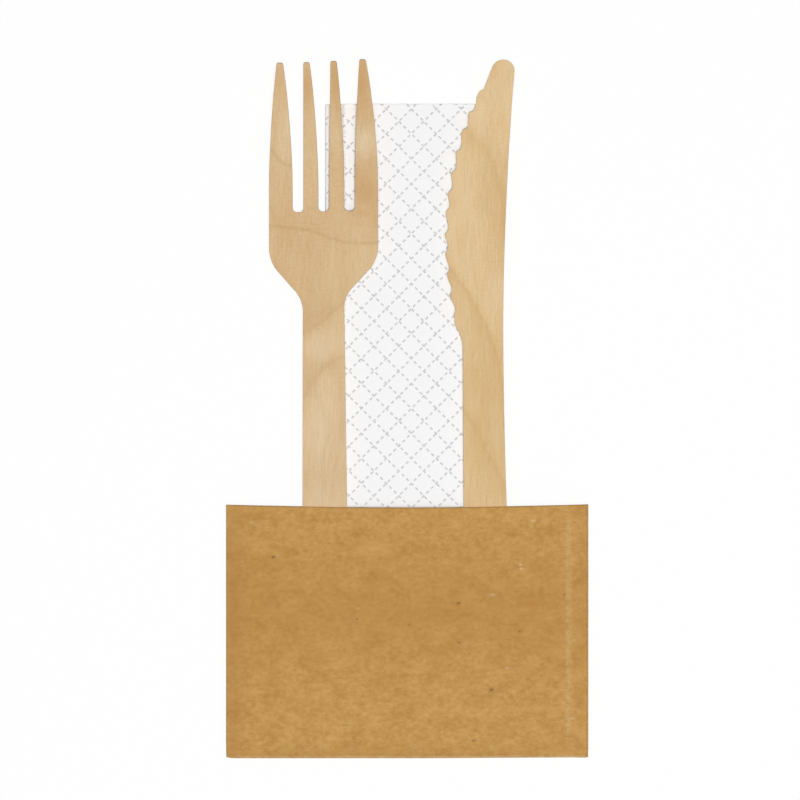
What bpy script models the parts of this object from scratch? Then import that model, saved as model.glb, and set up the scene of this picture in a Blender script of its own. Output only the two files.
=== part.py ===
"""A wooden cutlery set: fork, knife and folded napkin in a kraft paper pocket.

The set lies on its back. +Y runs from the pocket's bottom fold to the tips of
the cutlery, +Z is up, and the origin is the middle of the footprint, on the
surface the set lies on. All sizes are in metres.
"""

import math

import bmesh
import bpy
from mathutils import Matrix, Vector

# Clearances
REST_GAP = 0.0003            # left between pieces that rest on each other
END_CLEARANCE = 0.0040       # handles to the outside of the bottom fold
NAPKIN_CLEARANCE = 0.0037    # napkin to the outside of the bottom fold
SIDE_SLACK = 0.0010          # flat part of the front panel beyond the handles

# Kraft paper pocket
POCKET_WIDTH = 0.0850
POCKET_HEIGHT = 0.0594
PAPER = 0.0002
CREASE_RADIUS = 0.00045      # outside radius of the side and bottom folds
END_RISE = 0.0050            # length over which the panels open at the bottom fold
MOUTH_DIP = 0.0006           # how far the bulge pulls the mouth's middle back
SIDE_FLAP = 0.0049           # glue flap inside the front panel, at the right fold
SIDE_FLAP_TRIM = 0.0039      # glue flap to mouth and to bottom fold
BOTTOM_FLAP = 0.0120         # flap folded behind the back panel and glued
BOTTOM_FLAP_TRIM = 0.0020    # bottom flap to the side folds
FLAP_SETTLE = 0.0015         # length over which the panel settles past a flap
CUT_EDGE = 0.0001            # run of the step at a flap's cut edge

# Folded napkin: one sheet, folded once across and then in half lengthwise
NAPKIN_SHEET = 0.3000        # side of the open square
NAPKIN_HALVINGS = 3          # lengthwise folds, after the one across
NAPKIN_LEAF = 0.00012        # two plies, pressed together
NAPKIN_LEAF_GAP = 0.000055   # air between neighbouring leaves in the pocket
NAPKIN_CENTRE_X = -0.0006
NAPKIN_FALL = 0.0150         # length over which it loosens beyond the mouth

# Fork and knife blanks
CUTLERY_SPACING = 0.0378     # fork's centre line to knife's
CUTLERY_CENTRE_X = -0.0007
WOOD = 0.0015                # blank thickness
EASED_EDGE = 0.0002          # tumbled edge
HANDLE_END_RADIUS = 0.0045

# Fork
FORK_LENGTH = 0.1600
FORK_HANDLE_END = 0.0110     # width at the handle's end
FORK_NECK = 0.0097           # width at the neck
FORK_HEAD = 0.0257           # width of the head
NECK_DROP = 0.0560           # tips down to the neck
SHOULDER_DROP = 0.0474       # tips down to the shoulders
NECK_RADIUS = 0.0060
SHOULDER_RADIUS = 0.0071
SLOT_DEPTH = 0.0358          # tips down to the bottom of the slots
SLOT_WIDTH = 0.0025
SLOT_PITCH = 0.00605
SLOT_RADIUS = 0.0010
TAPER_LENGTH = 0.0305        # tapered length of a tine
TINE_TIP = 0.00148           # width of a tine's blunt tip
TINE_TIP_RADIUS = 0.00045
TINE_LEANS = (-0.0002, -0.0010, -0.0007, -0.0009)   # tip centre from base centre
TINE_SHORTFALLS = (0.0008, 0.0007, 0.0004, 0.0)     # tip below the longest tine
PRESS_RISE = 0.0030          # how far the pressed head curves up at the tips

# Knife, measured across from its centre line
KNIFE_LENGTH = 0.1600
KNIFE_HANDLE_LEFT = 0.0047   # at the handle's end
KNIFE_HANDLE_RIGHT = 0.00545
KNIFE_GRIP_DROP = 0.1150     # tip down to where the handle is widest
BACK_WAIST = 0.00423         # back edge at its narrowest
BACK_WAIST_DROP = 0.0623
BACK_TOP = 0.0069            # back edge beside the tip
TIP_WIDTH = 0.0046
TIP_RADIUS = 0.00272
BELLY = 0.00948              # tooth line at its widest
BELLY_DROP = 0.0418
BELLY_RADIUS = 0.0795
TEETH = 12
TOOTH_PITCH = 0.00495
TOOTH_DEPTH = 0.0008
TOOTH_HOOK = 0.0015          # short side of a tooth, along the edge
TOOTH_RADIUS = 0.0003
FIRST_TOOTH = 0.0357         # first tooth ahead of the belly, along the edge
HEEL_REACH = 0.0069          # end of the last tooth
HEEL_REACH_DROP = 0.0625
HEEL_LEFT = 0.0051           # handle's left edge just below the cutting edge
HEEL_DROP = 0.0651
HEEL_RADIUS = 0.0075

# Mesh fineness
ARC_STEPS = 5
CURVE_STEPS = 6

# What follows from the sizes above
OVERALL_LENGTH = END_CLEARANCE + max(FORK_LENGTH, KNIFE_LENGTH)
BOTTOM_Y = -OVERALL_LENGTH / 2
NAPKIN_LEAVES = 2 ** NAPKIN_HALVINGS
NAPKIN_WIDTH = NAPKIN_SHEET / NAPKIN_LEAVES
NAPKIN_LENGTH = NAPKIN_SHEET / 2
LEAF_PITCH = NAPKIN_LEAF + NAPKIN_LEAF_GAP
NAPKIN_PRESSED = NAPKIN_LEAF + (NAPKIN_LEAVES - 1) * LEAF_PITCH
NAPKIN_BASE = 2 * PAPER + REST_GAP
CUTLERY_BASE = NAPKIN_BASE + NAPKIN_PRESSED + REST_GAP
POCKET_THICKNESS = CUTLERY_BASE + WOOD + REST_GAP + PAPER
CREASE_Z = POCKET_THICKNESS / 2
FORK_X = CUTLERY_CENTRE_X - CUTLERY_SPACING / 2
KNIFE_X = CUTLERY_CENTRE_X + CUTLERY_SPACING / 2

KRAFT = (0.527, 0.287, 0.091, 1.0)
BIRCH = (0.672, 0.468, 0.258, 1.0)
TISSUE = (0.888, 0.888, 0.896, 1.0)


def ramp(value, start, end):
    """0 at start, 1 at end, straight between them and level outside."""
    return min(max((value - start) / (end - start), 0.0), 1.0)


def springing(share):
    """Height of a bent panel: steep at its crease, level where it lies on something."""
    return share * (1.5 - 0.5 * share * share)


def smooth(share):
    return share * share * (3 - 2 * share)


def spread(start, end, count):
    return [start + (end - start) * i / count for i in range(count + 1)]


def stations(*groups):
    """Sorted places from several lists, without near repeats."""
    places = sorted(place for group in groups for place in group)
    kept = [places[0]]
    for place in places[1:]:
        if place - kept[-1] > CUT_EDGE / 2:
            kept.append(place)
    return kept


def curve(start, control, end, steps=CURVE_STEPS):
    """Points of a quadratic curve, both ends included."""
    points = []
    for i in range(steps + 1):
        t = i / steps
        points.append(tuple((1 - t) ** 2 * a + 2 * t * (1 - t) * c + t * t * b
                            for a, c, b in zip(start, control, end)))
    return points


def rounded(corners):
    """Outline from (x, y, radius) corners, each corner rounded by its radius."""
    outline = []
    for i, (x, y, radius) in enumerate(corners):
        corner = Vector((x, y))
        if radius == 0:
            outline.append(corner)
            continue
        before = Vector(corners[i - 1][:2]) - corner
        after = Vector(corners[(i + 1) % len(corners)][:2]) - corner
        half = before.angle(after) / 2
        tangent = min(radius / math.tan(half), 0.49 * before.length, 0.49 * after.length)
        to_centre = (before.normalized() + after.normalized()).normalized()
        centre = corner + to_centre * (tangent / math.cos(half))
        spoke = corner + before.normalized() * tangent - centre
        turn = math.pi - 2 * half
        if before.cross(after) > 0:
            turn = -turn
        for k in range(ARC_STEPS + 1):
            outline.append(centre + Matrix.Rotation(turn * k / ARC_STEPS, 2) @ spoke)
    return outline


def make_object(name, bm, material, location):
    bmesh.ops.recalc_face_normals(bm, faces=bm.faces)
    mesh = bpy.data.meshes.new(name)
    bm.to_mesh(mesh)
    bm.free()
    mesh.shade_smooth()
    mesh.set_sharp_from_angle(angle=math.radians(30))
    mesh.materials.append(material)
    piece = bpy.data.objects.new(name, mesh)
    piece.location = location
    bpy.context.collection.objects.link(piece)
    return piece


def make_material(name, colour, roughness):
    material = bpy.data.materials.new(name)
    material.use_nodes = True
    shader = material.node_tree.nodes["Principled BSDF"]
    shader.inputs["Base Color"].default_value = colour
    shader.inputs["Roughness"].default_value = roughness
    shader.inputs["Metallic"].default_value = 0.0
    return material


def skin_rings(bm, rings):
    """Walls between closed rings of points; gives back the rings as vertices."""
    loops = [[bm.verts.new(point) for point in ring] for ring in rings]
    for lower, upper in zip(loops, loops[1:]):
        for i in range(len(lower)):
            j = (i + 1) % len(lower)
            bm.faces.new((lower[i], lower[j], upper[j], upper[i]))
    return loops


def make_blank(outline, thickness):
    """A flat blank with eased edges, its underside on z = 0."""
    bm = bmesh.new()
    underside = bm.faces.new([bm.verts.new((x, y, 0.0)) for x, y in outline])
    raised = bmesh.ops.extrude_face_region(bm, geom=[underside])["geom"]
    lifted = [item for item in raised if isinstance(item, bmesh.types.BMVert)]
    bmesh.ops.translate(bm, verts=lifted, vec=(0.0, 0.0, thickness))
    rims = [edge for edge in bm.edges if edge.verts[0].co.z == edge.verts[1].co.z]
    bmesh.ops.bevel(bm, geom=rims, offset=EASED_EDGE, segments=1, profile=0.5, affect="EDGES")
    return bm


def fork_outline():
    """Corners of the fork, up its right side, over the tines and down its left."""
    head = FORK_HEAD / 2
    neck = FORK_NECK / 2
    neck_y = FORK_LENGTH - NECK_DROP
    shoulder_y = FORK_LENGTH - SHOULDER_DROP
    slot_y = FORK_LENGTH - SLOT_DEPTH
    taper_y = FORK_LENGTH - TAPER_LENGTH
    tines = len(TINE_LEANS)
    slots = [(i - (tines - 2) / 2) * SLOT_PITCH for i in range(tines - 1)]
    lefts = [-head] + [slot + SLOT_WIDTH / 2 for slot in slots]
    rights = [slot - SLOT_WIDTH / 2 for slot in slots] + [head]

    corners = [
        (FORK_HANDLE_END / 2, 0.0, HANDLE_END_RADIUS),
        (neck, neck_y, NECK_RADIUS),
        (head, shoulder_y, SHOULDER_RADIUS),
    ]
    for i in reversed(range(tines)):
        tip_x = (lefts[i] + rights[i]) / 2 + TINE_LEANS[i]
        tip_y = FORK_LENGTH - TINE_SHORTFALLS[i]
        bend_y = (taper_y + tip_y) / 2
        if i < tines - 1:
            corners.append((rights[i], slot_y, SLOT_RADIUS))
        right = curve((rights[i], taper_y), (rights[i], bend_y), (tip_x + TINE_TIP / 2, tip_y))
        left = curve((tip_x - TINE_TIP / 2, tip_y), (lefts[i], bend_y), (lefts[i], taper_y))
        corners += [(x, y, 0) for x, y in right[:-1]]
        corners.append((*right[-1], TINE_TIP_RADIUS))
        corners.append((*left[0], TINE_TIP_RADIUS))
        corners += [(x, y, 0) for x, y in left[1:]]
        if i > 0:
            corners.append((lefts[i], slot_y, SLOT_RADIUS))
    corners += [
        (-head, shoulder_y, SHOULDER_RADIUS),
        (-neck, neck_y, NECK_RADIUS),
        (-FORK_HANDLE_END / 2, 0.0, HANDLE_END_RADIUS),
    ]
    return rounded(corners)


def make_fork(material):
    """The blank, with its head curved up from the neck by the press."""
    bm = make_blank(fork_outline(), WOOD)
    neck_y = FORK_LENGTH - NECK_DROP
    for y in spread(neck_y, FORK_LENGTH, 2 * CURVE_STEPS)[:-1]:
        bmesh.ops.bisect_plane(bm, geom=bm.verts[:] + bm.edges[:] + bm.faces[:],
                               plane_co=(0, y, 0), plane_no=(0, 1, 0), dist=1e-7)
    bmesh.ops.triangulate(bm, faces=bm.faces)
    for vert in bm.verts:
        vert.co.z += PRESS_RISE * ramp(vert.co.y, neck_y, FORK_LENGTH) ** 2
    return make_object("fork", bm, material, (FORK_X, BOTTOM_Y + END_CLEARANCE, CUTLERY_BASE))


def knife_outline():
    """Corners of the knife, up its back, round the tip and down the teeth."""
    grip_y = KNIFE_LENGTH - KNIFE_GRIP_DROP
    waist_y = KNIFE_LENGTH - BACK_WAIST_DROP
    tip_base_y = KNIFE_LENGTH - TIP_RADIUS
    grip = curve((KNIFE_HANDLE_RIGHT, grip_y), (BACK_WAIST, (grip_y + waist_y) / 2),
                 (BACK_WAIST, waist_y))
    back = curve((BACK_WAIST, waist_y), (BACK_WAIST, (waist_y + tip_base_y) / 2),
                 (BACK_TOP, tip_base_y))
    corners = [(KNIFE_HANDLE_RIGHT, 0.0, HANDLE_END_RADIUS)]
    corners += [(x, y, 0) for x, y in grip + back[1:-1]]
    corners.append((BACK_TOP, KNIFE_LENGTH, TIP_RADIUS))
    corners.append((BACK_TOP - TIP_WIDTH, KNIFE_LENGTH, TIP_RADIUS))

    centre_x = BELLY_RADIUS - BELLY
    centre_y = KNIFE_LENGTH - BELLY_DROP
    for i in range(TEETH):
        point = FIRST_TOOTH - i * TOOTH_PITCH
        notch = point + TOOTH_HOOK
        for along, radius in ((notch, BELLY_RADIUS - TOOTH_DEPTH), (point, BELLY_RADIUS)):
            angle = along / BELLY_RADIUS
            corners.append((centre_x - radius * math.cos(angle),
                            centre_y + radius * math.sin(angle), TOOTH_RADIUS))
    corners.append((-HEEL_REACH, KNIFE_LENGTH - HEEL_REACH_DROP, TOOTH_RADIUS))
    corners.append((-HEEL_LEFT, KNIFE_LENGTH - HEEL_DROP, HEEL_RADIUS))
    corners.append((-KNIFE_HANDLE_LEFT, 0.0, HANDLE_END_RADIUS))
    return rounded(corners)


def make_knife(material):
    bm = make_blank(knife_outline(), WOOD)
    return make_object("knife", bm, material, (KNIFE_X, BOTTOM_Y + END_CLEARANCE, CUTLERY_BASE))


def folded_layers():
    """Strip segments in the order they lie in the folded stack, lowest first."""
    columns = [[segment] for segment in range(NAPKIN_LEAVES)]
    while len(columns) > 1:
        half = len(columns) // 2
        columns = [left + right[::-1]
                   for left, right in zip(columns[:half], reversed(columns[half:]))]
    return columns[0]


def napkin_path():
    """Middle line of the folded strip in (x, height), with its side directions."""
    stack = folded_layers()
    level = [NAPKIN_LEAF / 2 + stack.index(segment) * LEAF_PITCH
             for segment in range(NAPKIN_LEAVES)]
    half_width = NAPKIN_WIDTH / 2
    turns = [(level[i], level[i + 1]) for i in range(NAPKIN_LEAVES - 1)]
    left_reach = max(abs(a - b) for a, b in turns[0::2]) / 2 + NAPKIN_LEAF / 2
    right_reach = max(abs(a - b) for a, b in turns[1::2]) / 2 + NAPKIN_LEAF / 2
    folds_x = (-half_width + left_reach, half_width - right_reach)

    points = [((half_width, level[0]), (0.0, 1.0))]
    for i, (here, there) in enumerate(turns):
        side = -1 if i % 2 == 0 else 1
        radius = (there - here) / 2
        for k in range(ARC_STEPS + 2):
            angle = math.pi * k / (ARC_STEPS + 1)
            across, along = math.sin(angle), math.cos(angle)
            place = (folds_x[i % 2] + side * abs(radius) * across,
                     (here + there) / 2 - radius * along)
            points.append((place, (math.copysign(across, radius), -side * along)))
    points.append(((half_width, level[-1]), (0.0, -1.0)))
    return points


def napkin_section():
    """Closed outline of the folded strip, in (x, height above its underside)."""
    path = napkin_path()
    half = NAPKIN_LEAF / 2
    near = [(x + half * u, z + half * v) for (x, z), (u, v) in path]
    far = [(x - half * u, z - half * v) for (x, z), (u, v) in path]
    return near + far[::-1]


def make_napkin(material):
    """Pressed flat in the pocket; beyond the mouth it loosens down to the table."""
    section = napkin_section()
    top = NAPKIN_BASE + NAPKIN_PRESSED
    end = NAPKIN_CLEARANCE
    fall = spread(POCKET_HEIGHT, POCKET_HEIGHT + NAPKIN_FALL, CURVE_STEPS)
    rings = []
    for y in [end] + fall + [end + NAPKIN_LENGTH]:
        underside = NAPKIN_BASE * (1 - smooth(ramp(y, fall[0], fall[-1])))
        swell = (top - underside) / NAPKIN_PRESSED
        rings.append([(x, y - end, underside + height * swell - NAPKIN_BASE)
                      for x, height in section])
    bm = bmesh.new()
    loops = skin_rings(bm, rings)
    bm.faces.new(loops[0])
    bm.faces.new(loops[-1])
    return make_object("napkin", bm, material, (NAPKIN_CENTRE_X, BOTTOM_Y + end, NAPKIN_BASE))


def flat_span():
    """Left and right ends of the stretch where the front panel lies level."""
    left = FORK_X - FORK_HANDLE_END / 2 - SIDE_SLACK
    right = KNIFE_X + KNIFE_HANDLE_RIGHT + SIDE_SLACK
    return left, right


def panel_lift(x, y):
    """How far the panels stand apart there, from 0 at the folds to 1 over the handles."""
    left, right = flat_span()
    half = POCKET_WIDTH / 2
    across = springing(ramp(x, -half, left)) * springing(ramp(x, half, right))
    return across * springing(ramp(y, 0.0, END_RISE))


def side_flap(x, y):
    """1 where the glue flap lines the front panel, 0 elsewhere."""
    edge = POCKET_WIDTH / 2 - SIDE_FLAP
    low, high = SIDE_FLAP_TRIM, POCKET_HEIGHT - SIDE_FLAP_TRIM
    return (ramp(x, edge - CUT_EDGE, edge) * ramp(y, low - CUT_EDGE, low)
            * ramp(y, high + CUT_EDGE, high))


def bottom_flap(x, y):
    """1 where the bottom flap covers the back panel from behind, 0 elsewhere."""
    side = POCKET_WIDTH / 2 - BOTTOM_FLAP_TRIM
    return ramp(abs(x), side + CUT_EDGE, side) * ramp(y, BOTTOM_FLAP + CUT_EDGE, BOTTOM_FLAP)


def held_up(x, y):
    """1 where the back panel lies on the bottom flap, easing to 0 past its edges."""
    side = POCKET_WIDTH / 2 - BOTTOM_FLAP_TRIM
    settled = BOTTOM_FLAP + CUT_EDGE + FLAP_SETTLE
    return (ramp(abs(x), side + CUT_EDGE + FLAP_SETTLE, side + CUT_EDGE)
            * ramp(y, settled, BOTTOM_FLAP + CUT_EDGE))


def pocket_ring(y, x_places, inside):
    """One ring of the pocket's outer or inner surface, round from the right fold."""
    crease = math.sqrt(CREASE_RADIUS ** 2 - max(CREASE_RADIUS - y, 0.0) ** 2)
    wall = PAPER if inside else 0.0
    front, back = [], []
    for x in x_places:
        lift = panel_lift(x, y)
        place_y = BOTTOM_Y + y * (1 - MOUTH_DIP * lift / POCKET_HEIGHT)
        high = CREASE_Z + crease + (POCKET_THICKNESS - CREASE_Z - crease) * lift
        low = (CREASE_Z - crease) * (1 - lift)
        lining = low + PAPER * (1 + held_up(x, y))
        if inside:
            front.append((x, place_y, high - PAPER * (1 + side_flap(x, y))))
            back.append((x, place_y, lining))
        else:
            front.append((x, place_y, high))
            back.append((x, place_y, lining - PAPER * (1 + bottom_flap(x, y))))

    def fold(side):
        arc = []
        for k in range(1, ARC_STEPS):
            angle = math.pi * k / ARC_STEPS
            reach = POCKET_WIDTH / 2 - CREASE_RADIUS + (crease - wall) * math.sin(angle)
            height = CREASE_Z - side * (crease - wall) * math.cos(angle)
            arc.append((side * reach, BOTTOM_Y + y, height))
        return arc

    return front[::-1] + fold(-1) + back + fold(1)


def close_ring(bm, ring, count):
    """Close a flat ring across, from its front points to its back points."""
    back_start = count + ARC_STEPS - 1
    front = ring[:count][::-1]
    back = ring[back_start:back_start + count]
    for i in range(count - 1):
        bm.faces.new((front[i], front[i + 1], back[i + 1], back[i]))
    bm.faces.new([front[0]] + ring[count:back_start] + [back[0]])
    bm.faces.new([back[-1]] + ring[back_start + count:] + [front[-1]])


def make_pocket(material):
    """One folded and glued sheet: a flat tube with its bottom folded shut."""
    half = POCKET_WIDTH / 2
    left, right = flat_span()
    flap_edge = half - SIDE_FLAP
    trim = half - BOTTOM_FLAP_TRIM
    x_places = stations(
        spread(-half + CREASE_RADIUS, left, CURVE_STEPS),
        spread(right, half - CREASE_RADIUS, CURVE_STEPS),
        [flap_edge - CUT_EDGE, flap_edge],
        [-trim - CUT_EDGE, -trim, trim, trim + CUT_EDGE],
    )
    y_places = stations(
        spread(CREASE_RADIUS, END_RISE, CURVE_STEPS),
        [SIDE_FLAP_TRIM - CUT_EDGE, SIDE_FLAP_TRIM],
        [BOTTOM_FLAP, BOTTOM_FLAP + CUT_EDGE, BOTTOM_FLAP + CUT_EDGE + FLAP_SETTLE],
        [POCKET_HEIGHT - SIDE_FLAP_TRIM, POCKET_HEIGHT - SIDE_FLAP_TRIM + CUT_EDGE],
        [POCKET_HEIGHT],
    )
    fold_places = [CREASE_RADIUS * share for share in (0.1, 0.45)]
    bm = bmesh.new()
    outer = skin_rings(bm, [pocket_ring(y, x_places, False) for y in fold_places + y_places])
    inner = skin_rings(bm, [pocket_ring(y, x_places, True) for y in y_places])
    close_ring(bm, outer[0], len(x_places))
    close_ring(bm, inner[0], len(x_places))
    for i in range(len(outer[-1])):
        j = (i + 1) % len(outer[-1])
        bm.faces.new((outer[-1][i], outer[-1][j], inner[-1][j], inner[-1][i]))
    return make_object("paper_pocket", bm, material, (0.0, 0.0, 0.0))


def main():
    for old in list(bpy.data.objects):
        bpy.data.objects.remove(old, do_unlink=True)
    kraft = make_material("kraft_paper", KRAFT, 0.85)
    birch = make_material("birch", BIRCH, 0.6)
    tissue = make_material("tissue", TISSUE, 0.95)
    pieces = [make_pocket(kraft), make_fork(birch), make_knife(birch), make_napkin(tissue)]
    holder = bpy.data.objects.new("cutlery_set", None)
    bpy.context.collection.objects.link(holder)
    for piece in pieces:
        piece.parent = holder


main()
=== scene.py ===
import math

import bmesh
import bpy
from mathutils import Matrix, Vector, noise


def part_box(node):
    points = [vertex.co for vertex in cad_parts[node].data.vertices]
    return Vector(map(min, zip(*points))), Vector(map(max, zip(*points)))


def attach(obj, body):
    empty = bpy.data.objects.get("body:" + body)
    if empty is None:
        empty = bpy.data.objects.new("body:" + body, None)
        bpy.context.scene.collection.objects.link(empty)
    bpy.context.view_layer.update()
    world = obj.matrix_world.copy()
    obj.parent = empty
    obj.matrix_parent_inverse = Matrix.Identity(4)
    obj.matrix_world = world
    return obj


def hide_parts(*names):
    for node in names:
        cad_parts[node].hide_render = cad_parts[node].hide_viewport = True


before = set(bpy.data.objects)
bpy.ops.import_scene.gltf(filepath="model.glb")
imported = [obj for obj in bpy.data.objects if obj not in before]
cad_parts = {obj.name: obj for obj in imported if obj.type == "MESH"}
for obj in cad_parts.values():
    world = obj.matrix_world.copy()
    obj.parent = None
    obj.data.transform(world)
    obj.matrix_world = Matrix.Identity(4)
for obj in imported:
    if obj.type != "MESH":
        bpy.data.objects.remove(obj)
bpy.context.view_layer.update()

mm = 0.001   # the frame is in metres

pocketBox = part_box("paper_pocket")
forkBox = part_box("fork")
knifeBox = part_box("knife")
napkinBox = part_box("napkin")
halfPocket, mouthY, pocketTop = pocketBox[1]   # its sides are at -halfPocket and halfPocket
bottomY = pocketBox[0][1]   # outside of the pocket's bottom fold


nowhere = (0.0, 0.0, 0.0)   # starting value of a group's vector inputs


# Small helpers for numbers, places and meshes

def ramp(value, start, end):
    return min(max((value - start) / (end - start), 0.0), 1.0)


def smooth(share):
    return share * share * (3 - 2 * share)


def springing(share):
    return share * (1.5 - 0.5 * share * share)   # a bent panel, level where it comes to rest


def spread(start, end, count):
    return [start + (end - start) * i / count for i in range(count + 1)]


def nearness(distance, width):
    return math.exp(-(distance / width) ** 2)


def ripple(x, y, size, seed):
    return noise.noise(Vector((x / size, y / size, seed)))   # about -0.5 to 0.5


def everything(bm):
    return bm.verts[:] + bm.edges[:] + bm.faces[:]


def placeObject(name, data):
    placed = bpy.data.objects.new(name, data)
    bpy.context.scene.collection.objects.link(placed)
    return placed


def meshObject(name, bm, material):
    mesh = bpy.data.meshes.new(name)
    bm.to_mesh(mesh)
    bm.free()
    mesh.shade_smooth()
    mesh.materials.append(material)
    return placeObject(name, mesh)


def finishPiece(name, bm, material, cadNode):
    bmesh.ops.recalc_face_normals(bm, faces=bm.faces)
    piece = meshObject(name, bm, material)
    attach(piece, "root")
    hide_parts(cadNode)
    return piece


def addThickness(piece, thickness):
    wall = piece.modifiers.new("thickness", "SOLIDIFY")
    wall.thickness = thickness
    wall.offset = 0.0   # half to each side of the modelled surface


def gridSheet(columns, rows, place, drop=None):
    # a flat grid, less the faces that drop(column, row) names, laid where place(column, row) says
    bm = bmesh.new()
    bmesh.ops.create_grid(bm, x_segments=columns - 1, y_segments=rows - 1, size=0.5)

    def steps(point):
        return (point.x + 0.5) * (columns - 1), (point.y + 0.5) * (rows - 1)

    if drop:
        unwanted = [face for face in bm.faces if drop(*map(math.floor, steps(face.calc_center_median())))]
        bmesh.ops.delete(bm, geom=unwanted, context="FACES")
    for vert in bm.verts:
        vert.co = place(*map(round, steps(vert.co)))
    return bm


# Shader helpers

def feed(tree, socket, value):
    if isinstance(value, bpy.types.NodeSocket):
        tree.links.new(value, socket)
    else:
        socket.default_value = value


def addNode(tree, kind, inputs=(), **settings):
    node = tree.nodes.new("ShaderNode" + kind)
    for name, value in settings.items():
        setattr(node, name, value)
    for socket, value in inputs:
        feed(tree, node.inputs[socket], value)
    return node.outputs


def calc(tree, operation, *values):
    return addNode(tree, "Math", enumerate(values), operation=operation)[0]


def vectorCalc(tree, operation, *values):
    return addNode(tree, "VectorMath", enumerate(values), operation=operation)


def times(tree, product, *factors):
    for factor in factors:
        product = calc(tree, "MULTIPLY", product, factor)
    return product


def weighted(tree, total, *parts):
    for value, weight in parts:
        total = calc(tree, "MULTIPLY_ADD", value, weight, total)
    return total


def fadeOut(tree, distance):
    return calc(tree, "EXPONENT", times(tree, distance, -1.0))


def spreadOut(tree, value, low, high, toLow=0.0, toHigh=1.0):
    inputs = (("Value", value), ("From Min", low), ("From Max", high), ("To Min", toLow), ("To Max", toHigh))
    return addNode(tree, "MapRange", inputs, interpolation_type="SMOOTHSTEP")["Result"]


def blendColours(tree, factor, first, second):
    return addNode(tree, "Mix", ((0, factor), (6, first), (7, second)), data_type="RGBA")[2]


def stretched(tree, vector, scale, shift=(0.0, 0.0, 0.0)):
    return addNode(tree, "Mapping", (("Vector", vector), ("Scale", scale), ("Location", shift)))["Vector"]


def noiseAt(tree, vector, scale, detail=2.0, roughness=0.5, output="Fac"):
    inputs = (("Vector", vector), ("Scale", scale), ("Detail", detail), ("Roughness", roughness))
    return addNode(tree, "TexNoise", inputs)[output]


def cellsAt(tree, vector, scale, feature="F1"):
    return addNode(tree, "TexVoronoi", (("Vector", vector), ("Scale", scale)), feature=feature)


def axesOf(tree, vector):
    return addNode(tree, "SeparateXYZ", ((0, vector),))


def facing(tree, axis):
    # how squarely the surface faces along an axis, either way (0 to 1)
    return calc(tree, "ABSOLUTE", axesOf(tree, addNode(tree, "TexCoord")["Normal"])[axis])


def seenDirectly(tree):
    # 1 for what the camera sees, also in gloss or glass, and 0 for the light on the object
    rays = addNode(tree, "LightPath")
    seen = calc(tree, "MAXIMUM", rays["Is Camera Ray"], rays["Is Glossy Ray"])
    return calc(tree, "MAXIMUM", seen, rays["Is Transmission Ray"])


def newGroup(name, inputs, outputs):
    # inputs: each label with its value; those that are not single numbers are vectors
    tree = bpy.data.node_groups.new(name, "ShaderNodeTree")
    for label, value in inputs.items():
        kind = "NodeSocketFloat" if isinstance(value, float) else "NodeSocketVector"
        tree.interface.new_socket(label, in_out="INPUT", socket_type=kind).default_value = value
    for label in outputs:
        tree.interface.new_socket(label, in_out="OUTPUT", socket_type="NodeSocketFloat")
    return tree, tree.nodes.new("NodeGroupInput").outputs, tree.nodes.new("NodeGroupOutput").inputs


def useGroup(tree, group, **values):
    return addNode(tree, "Group", values.items(), node_tree=group)


def newMaterial(name):
    material = bpy.data.materials.new(name)
    material.use_nodes = True
    tree = material.node_tree
    shader = tree.nodes["Principled BSDF"]
    shader.inputs["Specular IOR Level"].default_value = 0.25
    return material, tree, shader, addNode(tree, "TexCoord")["Object"]


def finishMaterial(tree, shader, colour, roughness, height, distance, strength):
    bump = addNode(tree, "Bump", (("Strength", strength), ("Distance", distance), ("Height", height)))
    for name, value in (("Base Color", colour), ("Roughness", roughness), ("Normal", bump["Normal"])):
        feed(tree, shader.inputs[name], value)


# Birch: fine upright fibres, short pores, and the curved growth lines of rotary veneer

def makeGrainGroup():
    tree, given, result = newGroup("birchGrain", {"Coordinates": nowhere, "Shift": nowhere},
                                   ["Fibre", "Pores", "Figure", "Mottle", "Height"])
    place = vectorCalc(tree, "ADD", given["Coordinates"], given["Shift"])[0]
    fibre = noiseAt(tree, stretched(tree, place, (3600, 170, 3600)), 1.0, 3.0, 0.62)
    pores = spreadOut(tree, noiseAt(tree, stretched(tree, place, (8200, 520, 8200)), 1.0, 1.0), 0.62, 0.74)
    feed(tree, result["Fibre"], fibre)
    feed(tree, result["Pores"], pores)
    feed(tree, result["Figure"], noiseAt(tree, stretched(tree, place, (95, 26, 95)), 1.0))
    feed(tree, result["Mottle"], noiseAt(tree, stretched(tree, place, (1.0, 1.6, 1.0)), 1300.0, 2.0, 0.6))
    feed(tree, result["Height"], calc(tree, "SUBTRACT", fibre, times(tree, pores, 0.6)))
    return tree


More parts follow.
